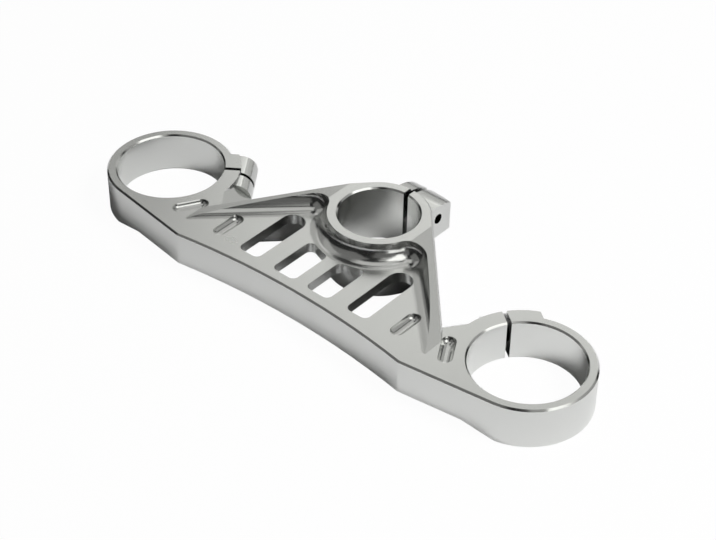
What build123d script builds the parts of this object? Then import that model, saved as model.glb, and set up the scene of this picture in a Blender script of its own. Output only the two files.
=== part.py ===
"""Top triple clamp of a motorcycle, machined from one aluminium billet.

Frame: the steering axis is +Z through the origin, the underside of the fork rings is z = 0,
+X runs across the motorcycle and the fork axes stand ahead of the steering axis, towards -Y.
"""
import os
from math import cos, radians, sin, sqrt

from build123d import *

# Fork rings
fork_bore = 50.0
fork_wall = 4.75
fork_spacing = 208.5
ring_height = 20.0

# Stem boss
stem_bore = 37.0
stem_wall = 5.25
stem_offset = 27.9
boss_rise = 9.0

# Plate and front skirt
web_thickness = 5.0
front_reach = 30.1
kink_reach = 35.4
kink_half_span = 64.5
skirt_thickness = 5.0
skirt_lift = 3.5
skirt_ramp_start = 95.0
skirt_ramp_end = 111.0

# V ribs
rib_inner_angle = 45.0
rib_outer_angle = 47.0
rib_thickness = 4.95
rib_ramp_foot = 70.0
rib_ramp_top = 24.0
pocket_floor_radius = 8.0
pocket_wall = 4.75

# Windows through the plate
outer_window_width = 11.8
outer_window_centre = 31.5
outer_window_front = 24.2
outer_window_rear = 11.2
inner_window_width = 13.1
inner_window_centre = 9.85
inner_window_front = 24.8
inner_window_foot_gap = 1.2
window_corner = 3.0

# Ball-milled grooves in the plate
groove_radius = 3.4
groove_depth = 2.4
groove_length = 10.4
straight_groove_x = 51.8
straight_groove_ahead = 15.2
slanted_groove_x = 74.9
slanted_groove_ahead = 16.1
slanted_groove_lean = 30.0

# Fork pinch lugs and their bolts
fork_slot_angle = 36.0
fork_slot = 2.0
fork_collar_wall = 8.0
fork_shoulder = 28.0
fork_shoulder_run = 30.0
left_collar_end = 12.0
right_collar_end = 15.0
fork_bolt_reach = 31.5
fork_lug_radius = 7.6
left_outer_ear = 14.3
right_outer_ear = 12.0
fork_inner_ear = 9.5
fork_wedge_end = 28.0
fork_wedge_nose = 1.0
fork_bolt_clearance = 9.0
fork_bolt_tap = 6.8
fork_tap_depth = 18.0
fork_head_seat = 14.0

# Stem pinch lug and its bolt
stem_slot = 2.6
stem_slot_shift = 0.3
stem_lug_step = 1.3
stem_lug_radius = 35.3
stem_lug_height = 18.3
stem_lug_round = 26.0
stem_lug_round_start = 20.0
stem_head_ear = 8.0
stem_thread_ear = 16.0
stem_bolt_reach = 22.7
stem_bolt_drop = 8.4
stem_bolt_clearance = 6.6
stem_bolt_tap = 5.0
stem_head_seat = 10.2

# Edge breaks
top_chamfer = 0.8
bore_chamfer = 0.75
corner_margin = 0.5

# Sizes worked out from the ones above
fork_radius = fork_bore / 2
ring_radius = fork_radius + fork_wall
stem_radius = stem_bore / 2
boss_radius = stem_radius + stem_wall
boss_top = ring_height + boss_rise
fork_x = fork_spacing / 2
fork_y = -stem_offset
rib_inner = boss_radius - rib_thickness
pocket_corner = pocket_floor_radius + corner_margin
pocket_boss = stem_radius + pocket_wall
collar_radius = fork_radius + fork_collar_wall
lug_end = fork_bolt_reach + fork_lug_radius
slot_x = cos(radians(fork_slot_angle))
slot_y = sin(radians(fork_slot_angle))


def on_rib(offset, angle, across, side):
    """Point of a rib line, offset from the steering axis, at a distance across from the centre plane."""
    run = cos(radians(angle))
    rise = sin(radians(angle))
    return (side * across, (offset - across * rise) / run)


def rib_root(offset, angle, side):
    """Foot of the perpendicular from the steering axis to a rib line."""
    return (side * offset * sin(radians(angle)), offset * cos(radians(angle)))


def ring_tangent_point():
    """Point where the straight front edge from the kink runs into the right fork ring."""
    run_x = fork_x - kink_half_span
    run_y = kink_reach
    span = sqrt(run_x**2 + run_y**2)
    tangent = sqrt(span**2 - ring_radius**2)
    turn_cos = tangent / span
    turn_sin = ring_radius / span
    unit_x = (run_x * turn_cos + run_y * turn_sin) / span
    unit_y = (run_y * turn_cos - run_x * turn_sin) / span
    return (kink_half_span + tangent * unit_x, fork_y - kink_reach + tangent * unit_y)


# Pocket milled into the underside, which leaves the web, the front skirt and the V ribs standing
with BuildPart() as under_pocket:
    with BuildSketch() as under_outline:
        with BuildLine():
            inner_kink = fork_y - kink_reach + skirt_thickness
            inner_front = fork_y - front_reach + skirt_thickness
            right_shoulder = on_rib(rib_inner, rib_inner_angle, kink_half_span, 1)
            left_shoulder = on_rib(rib_inner, rib_inner_angle, kink_half_span, -1)
            ThreePointArc((-kink_half_span, inner_kink), (0, inner_front), (kink_half_span, inner_kink))
            Polyline(
                (kink_half_span, inner_kink),
                right_shoulder,
                rib_root(rib_inner, rib_inner_angle, 1),
                rib_root(rib_inner, rib_inner_angle, -1),
                left_shoulder,
                (-kink_half_span, inner_kink),
            )
        make_face()
        Circle(boss_radius, mode=Mode.SUBTRACT)
        end_wall = right_shoulder[1] - inner_kink
        end_corners = under_outline.vertices().filter_by(lambda corner: corner.Y < -boss_radius)
        fillet(end_corners, min(pocket_corner, end_wall / 2))
        boss_corners = under_outline.vertices().filter_by(lambda corner: corner.Y > -boss_radius)
        fillet(boss_corners, pocket_corner)
    extrude(amount=ring_height - web_thickness)

# Pocket milled into the top, open to the front, with a large floor radius round the boss and along the ribs
with BuildPart() as top_pocket:
    with BuildSketch(Plane.XY.offset(ring_height)) as top_outline:
        open_end = rib_ramp_foot + ring_radius
        with BuildLine():
            Polyline(
                on_rib(rib_inner, rib_inner_angle, open_end, -1),
                on_rib(rib_inner, rib_inner_angle, open_end, 1),
                rib_root(rib_inner, rib_inner_angle, 1),
                rib_root(rib_inner, rib_inner_angle, -1),
                close=True,
            )
        make_face()
        Circle(pocket_boss, mode=Mode.SUBTRACT)
        fillet(top_outline.vertices().sort_by(Axis.Y)[2:], pocket_corner)
    extrude(amount=boss_rise + pocket_floor_radius)
    floor_edges = top_pocket.faces().sort_by(Axis.Z)[0].edges().sort_by(Axis.Y)[1:]
    fillet(floor_edges, pocket_floor_radius)

# Boss and V ribs above the plate, with their ramps
with BuildPart() as raised:
    with BuildSketch(Plane.XY.offset(ring_height - web_thickness / 2)):
        rib_end = rib_ramp_foot + fork_wall
        block_front = fork_y - outer_window_front
        with BuildLine():
            Polyline(
                (-rib_end, block_front),
                (rib_end, block_front),
                on_rib(boss_radius, rib_outer_angle, rib_end, 1),
                rib_root(boss_radius, rib_outer_angle, 1),
                rib_root(boss_radius, rib_outer_angle, -1),
                on_rib(boss_radius, rib_outer_angle, rib_end, -1),
                close=True,
            )
        make_face()
        Circle(boss_radius)
    extrude(amount=web_thickness / 2 + boss_rise)
    with BuildSketch(Plane.XZ):
        with BuildLine():
            Polyline(
                (rib_ramp_top, boss_top),
                (rib_ramp_foot, ring_height),
                (rib_end + fork_wall, ring_height),
                (rib_end + fork_wall, boss_top + boss_rise),
                (rib_ramp_top, boss_top + boss_rise),
                close=True,
            )
        make_face()
        mirror(about=Plane.YZ)
    extrude(amount=fork_spacing, both=True, mode=Mode.SUBTRACT)
    add(top_pocket.part, mode=Mode.SUBTRACT)

    rear_lean = cos(radians(rib_outer_angle))
    rib_faces = raised.faces().filter_by(lambda face: face.normal_at().Y > rear_lean / 2)
    outer_edges = rib_faces.edges().filter_by(lambda edge: (edge @ 0.5).Z > ring_height + top_chamfer)
    top_edges = outer_edges.filter_by(lambda edge: abs((edge % 0.5).Z) < rear_lean)
    chamfer(top_edges, top_chamfer)

# Relief under the front skirt, which ramps down to the rings and leaves a collar round each fork bore
with BuildPart() as skirt_relief:
    with BuildSketch(Plane.XZ.offset(fork_radius - fork_wall - fork_y)):
        with BuildLine():
            Polyline(
                (-skirt_ramp_end, 0),
                (-skirt_ramp_start, skirt_lift),
                (skirt_ramp_start, skirt_lift),
                (skirt_ramp_end, 0),
                close=True,
            )
        make_face()
    extrude(amount=kink_reach)
    with Locations((-fork_x, fork_y), (fork_x, fork_y)):
        Cylinder(fork_radius + fork_wall / 2, ring_height, mode=Mode.SUBTRACT)

# Stem pinch lug, turned at its end about the steering axis and rounded down from the boss
with BuildPart() as stem_lug:
    with BuildSketch(Plane.YZ.offset(-stem_head_ear)):
        lug_top = boss_top - stem_lug_step
        lug_bottom = boss_top - stem_lug_height
        round_run = stem_lug_radius - stem_lug_round_start
        lug_tip = lug_top - stem_lug_round + sqrt(stem_lug_round**2 - round_run**2)
        with BuildLine():
            Polyline(
                (stem_lug_round_start, lug_top),
                (0, lug_top),
                (0, lug_bottom),
                (stem_lug_radius, lug_bottom),
                (stem_lug_radius, lug_tip),
            )
            RadiusArc((stem_lug_round_start, lug_top), (stem_lug_radius, lug_tip), stem_lug_round)
        make_face()
    extrude(amount=stem_head_ear + stem_thread_ear)
    with BuildSketch():
        Circle(stem_lug_radius)
    extrude(amount=boss_top, mode=Mode.INTERSECT)

# The clamp itself
with BuildPart() as triple_clamp:
    # Plate and fork rings
    with BuildSketch():
        tangent_x, tangent_y = ring_tangent_point()
        kink_y = fork_y - kink_reach
        notch_x = fork_x - fork_shoulder * slot_x - (fork_shoulder_run - fork_wall) * slot_y
        with BuildLine():
            ThreePointArc((-kink_half_span, kink_y), (0, fork_y - front_reach), (kink_half_span, kink_y))
            Polyline(
                (kink_half_span, kink_y),
                (tangent_x, tangent_y),
                (fork_x, fork_y),
                on_rib(boss_radius, rib_outer_angle, notch_x, 1),
                rib_root(boss_radius, rib_outer_angle, 1),
                rib_root(boss_radius, rib_outer_angle, -1),
                on_rib(boss_radius, rib_outer_angle, notch_x, -1),
                (-fork_x, fork_y),
                (-tangent_x, tangent_y),
                (-kink_half_span, kink_y),
            )
        make_face()
        Circle(boss_radius)
        with Locations((-fork_x, fork_y), (fork_x, fork_y)):
            Circle(ring_radius)
    extrude(amount=ring_height)
    plate_top = triple_clamp.faces().sort_by(Axis.Z)[-1]
    outline_edges = plate_top.edges().filter_by(
        lambda edge: (edge @ 0.5).Y < fork_y - fork_radius or abs((edge @ 0.5).X) > fork_x
    )
    chamfer(outline_edges, top_chamfer)

    # Fork pinch lugs, a thick collar beside the slot and a half-round barrel round the bolt
    for side, collar_end, outer_ear in (
        (-1, left_collar_end, left_outer_ear),
        (1, right_collar_end, right_outer_ear),
    ):
        slot_plane = Plane((side * fork_x, fork_y, 0), x_dir=(-side * slot_x, slot_y, 0))
        with BuildSketch(slot_plane):
            Circle(collar_radius)
            with Locations((fork_shoulder / 2, side * fork_shoulder_run / 2)):
                Rectangle(fork_shoulder, fork_shoulder_run)
            with Locations((collar_radius / 2, side * (fork_shoulder_run - collar_end) / 2)):
                Rectangle(collar_radius, fork_shoulder_run + collar_end, mode=Mode.INTERSECT)
        extrude(amount=ring_height)
        lug_plane = Plane(
            (side * fork_x, fork_y, ring_height / 2),
            x_dir=(-side * slot_x, slot_y, 0),
            z_dir=(slot_y, side * slot_x, 0),
        )
        with BuildSketch(lug_plane) as barrel:
            with Locations((fork_bolt_reach, 0)):
                Circle(fork_lug_radius)
            with Locations(((fork_radius + fork_bolt_reach) / 2, 0)):
                Rectangle(fork_bolt_reach - fork_radius, 2 * fork_lug_radius)
        extrude(amount=side * outer_ear)
        extrude(barrel.sketch, amount=-side * fork_inner_ear)
        with BuildSketch(lug_plane.offset(-side * fork_inner_ear)):
            with BuildLine():
                Polyline(
                    (fork_shoulder, ring_height / 2),
                    (lug_end, fork_wedge_nose / 2),
                    (lug_end, -fork_wedge_nose / 2),
                    (fork_shoulder, -ring_height / 2),
                    (fork_radius, -ring_height / 2),
                    (fork_radius, ring_height / 2),
                    close=True,
                )
            make_face()
        extrude(amount=-side * (fork_wedge_end - fork_inner_ear))

    # Raised boss and ribs, then the stem pinch lug behind the boss
    add(raised.part)
    add(stem_lug.part)

    # Bores with their rims broken at both ends
    add(under_pocket.part, mode=Mode.SUBTRACT)
    with BuildSketch():
        Circle(stem_radius)
        with Locations((-fork_x, fork_y), (fork_x, fork_y)):
            Circle(fork_radius)
    extrude(amount=boss_top, mode=Mode.SUBTRACT)
    rims = triple_clamp.edges().filter_by(GeomType.CIRCLE).filter_by(
        lambda edge: min(abs(edge.radius - fork_radius), abs(edge.radius - stem_radius)) < bore_chamfer / 10
        and edge.is_closed
    )
    chamfer(rims, bore_chamfer)

    # Front skirt raised clear of the ring undersides
    add(skirt_relief.part, mode=Mode.SUBTRACT)

    # Windows through the plate
    with BuildSketch(Plane.XY.offset(ring_height + web_thickness)) as windows:
        rear_round = outer_window_width / 2
        outer_run = outer_window_front + outer_window_rear - rear_round
        with Locations((outer_window_centre, fork_y - outer_window_front + outer_run / 2)):
            Rectangle(outer_window_width, outer_run)
        inner_run = inner_window_front + stem_offset
        with Locations((inner_window_centre, fork_y - inner_window_front + inner_run / 2)):
            Rectangle(inner_window_width, inner_run)
        Circle(boss_radius + pocket_floor_radius - inner_window_foot_gap, mode=Mode.SUBTRACT)
        inner_side = outer_window_centre - rear_round - window_corner
        sharp = windows.vertices().filter_by(lambda corner: corner.Y < fork_y or corner.X < inner_side)
        fillet(sharp, window_corner)
        with Locations((outer_window_centre, fork_y + outer_window_rear - rear_round)):
            Circle(rear_round)
        mirror(about=Plane.YZ)
    extrude(amount=-3 * web_thickness, mode=Mode.SUBTRACT)

    # Ball-milled grooves in the plate
    groove_z = ring_height + groove_radius - groove_depth
    half_run = groove_length / 2
    lean_x = sin(radians(slanted_groove_lean))
    lean_y = cos(radians(slanted_groove_lean))
    straight_y = fork_y - straight_groove_ahead
    slanted_y = fork_y - slanted_groove_ahead
    for side in (-1, 1):
        straight_x = side * straight_groove_x
        slanted_x = side * slanted_groove_x
        with Locations(
            Plane((straight_x, straight_y, groove_z), z_dir=(0, 1, 0)),
            Plane((slanted_x, slanted_y, groove_z), z_dir=(-side * lean_x, lean_y, 0)),
        ):
            Cylinder(groove_radius, groove_length, mode=Mode.SUBTRACT)
        with Locations(
            (straight_x, straight_y - half_run, groove_z),
            (straight_x, straight_y + half_run, groove_z),
            (slanted_x + side * half_run * lean_x, slanted_y - half_run * lean_y, groove_z),
            (slanted_x - side * half_run * lean_x, slanted_y + half_run * lean_y, groove_z),
        ):
            Sphere(groove_radius, mode=Mode.SUBTRACT)

    # Fork pinch slots, bolt holes and head seats
    for side, outer_ear in ((-1, left_outer_ear), (1, right_outer_ear)):
        slot_plane = Plane((side * fork_x, fork_y, 0), x_dir=(-side * slot_x, slot_y, 0))
        with BuildSketch(slot_plane):
            with Locations((lug_end / 2 + fork_radius / 2, 0)):
                Rectangle(lug_end, fork_slot)
        extrude(amount=boss_top, mode=Mode.SUBTRACT)
        bolt_x = side * (fork_x - fork_bolt_reach * slot_x)
        bolt_y = fork_y + fork_bolt_reach * slot_y
        bolt_plane = Plane(
            (bolt_x, bolt_y, ring_height / 2),
            x_dir=(0, 0, 1),
            z_dir=(side * slot_y, slot_x, 0),
        )
        with BuildSketch(bolt_plane):
            Circle(fork_bolt_clearance / 2)
        extrude(amount=outer_ear, mode=Mode.SUBTRACT)
        with BuildSketch(bolt_plane):
            Circle(fork_bolt_tap / 2)
        extrude(amount=-fork_tap_depth, mode=Mode.SUBTRACT)
        with BuildSketch(bolt_plane.offset(outer_ear)):
            Circle(fork_head_seat / 2)
        extrude(amount=fork_inner_ear, mode=Mode.SUBTRACT)

    # Stem pinch slot, bolt hole and head seat
    with BuildSketch():
        with Locations((stem_slot_shift, stem_lug_radius)):
            Rectangle(stem_slot, 2 * stem_lug_radius)
    extrude(amount=boss_top, mode=Mode.SUBTRACT)
    stem_bolt_plane = Plane(
        (0, stem_bolt_reach, boss_top - stem_bolt_drop),
        x_dir=(0, 1, 0),
        z_dir=(-1, 0, 0),
    )
    with BuildSketch(stem_bolt_plane):
        Circle(stem_bolt_clearance / 2)
    extrude(amount=stem_head_ear, mode=Mode.SUBTRACT)
    with BuildSketch(stem_bolt_plane):
        Circle(stem_bolt_tap / 2)
    extrude(amount=-stem_thread_ear, mode=Mode.SUBTRACT)
    with BuildSketch(stem_bolt_plane.offset(stem_head_ear)):
        Circle(stem_head_seat / 2)
    extrude(amount=boss_radius, mode=Mode.SUBTRACT)

os.makedirs("parts", exist_ok=True)
triple_clamp.part.label = "triple_clamp"
export_step(triple_clamp.part, "parts/triple_clamp.step")
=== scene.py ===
import math

import bpy
import numpy as np
from mathutils import Matrix, Vector

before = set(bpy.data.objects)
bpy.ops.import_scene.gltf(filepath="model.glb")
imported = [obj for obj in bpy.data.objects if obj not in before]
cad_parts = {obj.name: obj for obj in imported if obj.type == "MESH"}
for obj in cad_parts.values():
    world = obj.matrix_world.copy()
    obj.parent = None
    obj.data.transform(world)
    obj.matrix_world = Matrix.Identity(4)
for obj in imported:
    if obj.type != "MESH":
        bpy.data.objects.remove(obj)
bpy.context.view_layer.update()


# The clamp: one billet of aluminium alloy, milled all over on a machining centre and left bare.
# Its flats were faced with a broad cutter, its bores were bored, and a ball mill and a chamfer
# mill left the pocket radii and the edge breaks brighter than the flats.
def linear(hex_colour):
    """sRGB hex to linear red, green, blue and full alpha: the sRGB curve, channel by channel."""
    channels = np.array([int(hex_colour[i:i + 2], 16) for i in (1, 3, 5)]) / 255
    curve = np.where(channels <= 0.04045, channels / 12.92, ((channels + 0.055) / 1.055) ** 2.4)
    return (*curve.tolist(), 1.0)


def add_node(tree, kind, settings=None, **links):
    """Adds one node with its settings. A link is named for its input, or i and the input's number,
    and its value is a socket to join or a constant to set."""
    node = tree.nodes.new(kind)
    for name, value in (settings or {}).items():
        setattr(node, name, value)
    for name, value in links.items():
        key = int(name[1:]) if name[0] == "i" and name[1:].isdigit() else name.replace("_", " ")
        socket = node.inputs[key]
        if isinstance(value, bpy.types.NodeSocket):
            tree.links.new(value, socket)
        else:
            socket.default_value = value
    return node


METRES_PER_MM = 0.001

bare_aluminium = "#E3E4E2"

# How rough each finish is, and the upward share of a face's normal that tells flats and walls apart.
faced_roughness = 0.26
bored_roughness = 0.24
radius_roughness = 0.17
flat_from = 0.985
flat_full = 0.998
wall_from = 0.12
wall_full = 0.02

# Handling leaves broad patches a little duller or brighter. The cutter's real grain is a few tenths
# of a millimetre, too fine to show, so it is drawn coarser.
handling_patch = 30 * METRES_PER_MM
handling_detail = 3.0
handling_shift = 0.035
grain_size = 0.9 * METRES_PER_MM
grain_detail = 2.0
grain_height = 0.05 * METRES_PER_MM
grain_strength = 0.05

# Painted shade in the saw slots and other tight recesses: how far a face looks for metal across from it,
# the open shares between which its colour is painted from black to bare, and the share left at the
# darkest.
slot_gap = 10 * METRES_PER_MM
slot_closed = 0.3
slot_open = 0.62
painted_shade_darkest = 0.03
shade_samples = 8

# Machined aluminium: a light grey metal, almost neutral. Faced flats spread the light into an even
# satin, bored walls hold a softer mirror, and radii and chamfers reflect sharply. The narrow slots,
# bolt holes and other tight recesses get painted shade: their colour is darkened towards black.
machined = bpy.data.materials.new("machined_aluminium_milled")
machined.use_nodes = True
tree = machined.node_tree
tree.nodes.clear()
place = add_node(tree, "ShaderNodeTexCoord").outputs["Object"]
normal = add_node(tree, "ShaderNodeNewGeometry").outputs["True Normal"]
facing = add_node(tree, "ShaderNodeSeparateXYZ", Vector=normal)
upright = add_node(tree, "ShaderNodeMath", {"operation": "ABSOLUTE"}, i0=facing.outputs["Z"]).outputs[0]
smooth_step = {"interpolation_type": "SMOOTHSTEP"}
flat_share = add_node(
    tree, "ShaderNodeMapRange", smooth_step, Value=upright, From_Min=flat_from, From_Max=flat_full
).outputs[0]
wall_share = add_node(
    tree, "ShaderNodeMapRange", smooth_step, Value=upright, From_Min=wall_from, From_Max=wall_full
).outputs[0]
wall_finish = add_node(
    tree, "ShaderNodeMapRange", Value=wall_share, To_Min=radius_roughness, To_Max=bored_roughness
).outputs[0]
finish = add_node(
    tree, "ShaderNodeMix", {"data_type": "FLOAT"}, i0=flat_share, i2=wall_finish, i3=faced_roughness
).outputs[0]
patches = add_node(
    tree, "ShaderNodeTexNoise", Vector=place, Scale=1 / handling_patch, Detail=handling_detail
).outputs[0]
patch_shift = add_node(
    tree, "ShaderNodeMapRange", Value=patches, To_Min=-handling_shift, To_Max=handling_shift
).outputs[0]
roughness = add_node(tree, "ShaderNodeMath", {"operation": "ADD"}, i0=finish, i1=patch_shift).outputs[0]
grain = add_node(
    tree, "ShaderNodeTexNoise", Vector=place, Scale=1 / grain_size, Detail=grain_detail
).outputs[0]
surface = add_node(
    tree, "ShaderNodeBump", Strength=grain_strength, Distance=grain_height, Height=grain
).outputs[0]
own_shade = {"samples": shade_samples, "only_local": True}
# Painted shade: the colour goes dark where the metal's own walls close in round a face.
gap = add_node(tree, "ShaderNodeAmbientOcclusion", own_shade, Distance=slot_gap).outputs["AO"]
painted_slot_shade = add_node(
    tree, "ShaderNodeMapRange", Value=gap, From_Min=slot_closed, From_Max=slot_open, To_Min=painted_shade_darkest
).outputs[0]
colour = add_node(
    tree,
    "ShaderNodeMix",
    {"data_type": "RGBA", "blend_type": "MULTIPLY"},
    i0=1.0,
    i6=linear(bare_aluminium),
    i7=painted_slot_shade,
).outputs[2]
metal = add_node(
    tree,
    "ShaderNodeBsdfPrincipled",
    Base_Color=colour,
    Metallic=1.0,
    Roughness=roughness,
    Normal=surface,
)
add_node(tree, "ShaderNodeOutputMaterial", Surface=metal.outputs[0])

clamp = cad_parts["triple_clamp"]
clamp.data.materials.clear()
clamp.data.materials.append(machined)


# The floor: a sheet of white paper that the clamp rests on. The camera sees a plain white with a
# little of the clamp's shadow, and the metal mirrors the lamps' light and shade on the sheet and a
# painted shade under the clamp.
floor_half = 6.0
paper_white = "#FFFFFF"
camera_white = 0.97
mirror_white = 0.025
shade_reach = 35 * METRES_PER_MM
deep_shade = 0.09
open_shade = 0.26

floor_mesh = bpy.data.meshes.new("paper_floor")
corners = np.array([(-1, -1, 0), (1, -1, 0), (1, 1, 0), (-1, 1, 0)]) * floor_half
floor_mesh.from_pydata(corners.tolist(), [], [(0, 1, 2, 3)])
floor = bpy.data.objects.new("paper_floor", floor_mesh)
bpy.context.scene.collection.objects.link(floor)

# White paper: matt, with painted shade: its colour darkens under and beside the clamp's walls, where the
# least of the sky reaches it.
paper = bpy.data.materials.new("white_paper")
paper.use_nodes = True
tree = paper.node_tree
tree.nodes.clear()
path = add_node(tree, "ShaderNodeLightPath").outputs
largest = {"operation": "MAXIMUM"}
product = {"operation": "MULTIPLY"}
seen = add_node(tree, "ShaderNodeMath", largest, i0=path["Is Camera Ray"], i1=path["Is Transmission Ray"])
seen_white = add_node(tree, "ShaderNodeMath", product, i0=seen.outputs[0], i1=camera_white)
open_sky = add_node(tree, "ShaderNodeAmbientOcclusion", {"samples": shade_samples}, Distance=shade_reach)
# Painted shade: the paper's colour and its glow in the metal follow how much open sky reaches it.
paper_painted_shade = add_node(
    tree, "ShaderNodeMapRange", Value=open_sky.outputs["AO"], From_Min=deep_shade, From_Max=open_shade
).outputs[0]
mirrored = add_node(tree, "ShaderNodeMath", product, i0=path["Is Glossy Ray"], i1=paper_painted_shade)
mirrored_white = add_node(tree, "ShaderNodeMath", product, i0=mirrored.outputs[0], i1=mirror_white)
white_share = add_node(
    tree, "ShaderNodeMath", largest, i0=seen_white.outputs[0], i1=mirrored_white.outputs[0]
)
matt = add_node(tree, "ShaderNodeBsdfDiffuse", Color=paper_painted_shade)
glow = add_node(tree, "ShaderNodeEmission", Color=linear(paper_white), Strength=1.0)
mixed = add_node(
    tree, "ShaderNodeMixShader", i0=white_share.outputs[0], i1=matt.outputs[0], i2=glow.outputs[0]
)
add_node(tree, "ShaderNodeOutputMaterial", Surface=mixed.outputs[0])
floor_mesh.materials.append(paper)


# The light: two soft lamps, one to the right and one overhead, that light the paper, and pale cards
# all round the clamp, in a dim room. The metal shows the cards and not the lamps, as soft fields
# with dark between them.
lamp_distance = 1.3
lamp_white = "#FFFFFF"
card_white = "#FFFFFC"
room_white = "#FFFFFF"
room_glow = 0.02


def softbox(name, azimuth, elevation, width, height, radiance, card=True):
    """Area light at a bearing round +Z from +X and a height angle, in degrees, turned to the origin.
    Its power is its radiance times pi times its area. A card shows in the metal and lights no paper,
    and a lamp lights the paper and doesn't show in the metal."""
    bearing = math.radians(azimuth)
    rise = math.radians(elevation)
    way = Vector((math.cos(rise) * math.cos(bearing), math.cos(rise) * math.sin(bearing), math.sin(rise)))
    lamp = bpy.data.lights.new(name, "AREA")
    lamp.shape = "RECTANGLE"
    lamp.size = width
    lamp.size_y = height
    lamp.energy = radiance * math.pi * width * height
    lamp.color = linear(card_white if card else lamp_white)[:3]
    holder = bpy.data.objects.new(name, lamp)
    holder.location = way * lamp_distance
    holder.rotation_euler = way.to_track_quat("Z", "Y").to_euler()
    holder.visible_diffuse = not card
    holder.visible_glossy = card
    bpy.context.scene.collection.objects.link(holder)


softbox("lamp_key", azimuth=13, elevation=53, width=0.44, height=0.4, radiance=24.0, card=False)
softbox("lamp_high", azimuth=40, elevation=74, width=0.4, height=0.4, radiance=0.9, card=False)
softbox("card_key", azimuth=7, elevation=48, width=0.84, height=0.78, radiance=1.3)
softbox("card_upper", azimuth=-31, elevation=53, width=0.38, height=0.5, radiance=0.36)
softbox("card_right", azimuth=-18, elevation=8, width=0.6, height=0.36, radiance=1.1)
softbox("card_rear", azimuth=124, elevation=33.5, width=0.66, height=0.54, radiance=0.8)
softbox("card_rear_right", azimuth=94, elevation=34, width=0.7, height=0.5, radiance=0.39)
softbox("card_rear_high", azimuth=105, elevation=57, width=0.95, height=0.5, radiance=0.5)
softbox("card_rear_top", azimuth=94, elevation=75, width=0.66, height=0.36, radiance=0.5)
softbox("card_rear_low", azimuth=115, elevation=14.5, width=1.6, height=0.52, radiance=0.49)
softbox("card_side", azimuth=44, elevation=28, width=0.95, height=1.05, radiance=0.33)
softbox("card_left", azimuth=157, elevation=40, width=0.5, height=0.7, radiance=0.42)
softbox("card_far_left", azimuth=186, elevation=38, width=0.8, height=0.9, radiance=0.23)
softbox("card_front", azimuth=-130, elevation=48, width=1.8, height=0.92, radiance=0.15)
softbox("card_near", azimuth=-36, elevation=28, width=0.9, height=0.8, radiance=0.11)
softbox("card_above", azimuth=-60, elevation=83, width=0.9, height=0.55, radiance=0.55)

room = bpy.data.worlds.new("dim_room")
room.use_nodes = True
room_light = room.node_tree.nodes["Background"].inputs
room_light["Color"].default_value = linear(room_white)
room_light["Strength"].default_value = room_glow
bpy.context.scene.world = room
bpy.context.scene.view_settings.view_transform = "Standard"


# The camera: a long lens from the front right and above, as the photograph was taken. Its place and
# its turn, slightly rolled, were solved from the outlines of the bores and the plate. Its focal
# length and the width of its sensor are in millimetres.
eye = Vector((415.67, -500.87, 515.31)) * METRES_PER_MM
forward = Vector((-0.5073, 0.5945, -0.6238)).normalized()
rolled_right = Vector((0.7548, 0.6559, 0.0113))
focal_length = 91.55
sensor_width = 36
nearest_view = 10 * METRES_PER_MM

right = (rolled_right - forward * rolled_right.dot(forward)).normalized()
up = right.cross(forward)
lens = bpy.data.cameras.new("camera")
lens.sensor_fit = "HORIZONTAL"
lens.sensor_width = sensor_width
lens.lens = focal_length
lens.clip_start = nearest_view
camera = bpy.data.objects.new("camera", lens)
turn = Matrix((right, up, -forward)).transposed().to_4x4()
camera.matrix_world = Matrix.Translation(eye) @ turn
bpy.context.scene.collection.objects.link(camera)
bpy.context.scene.camera = camera
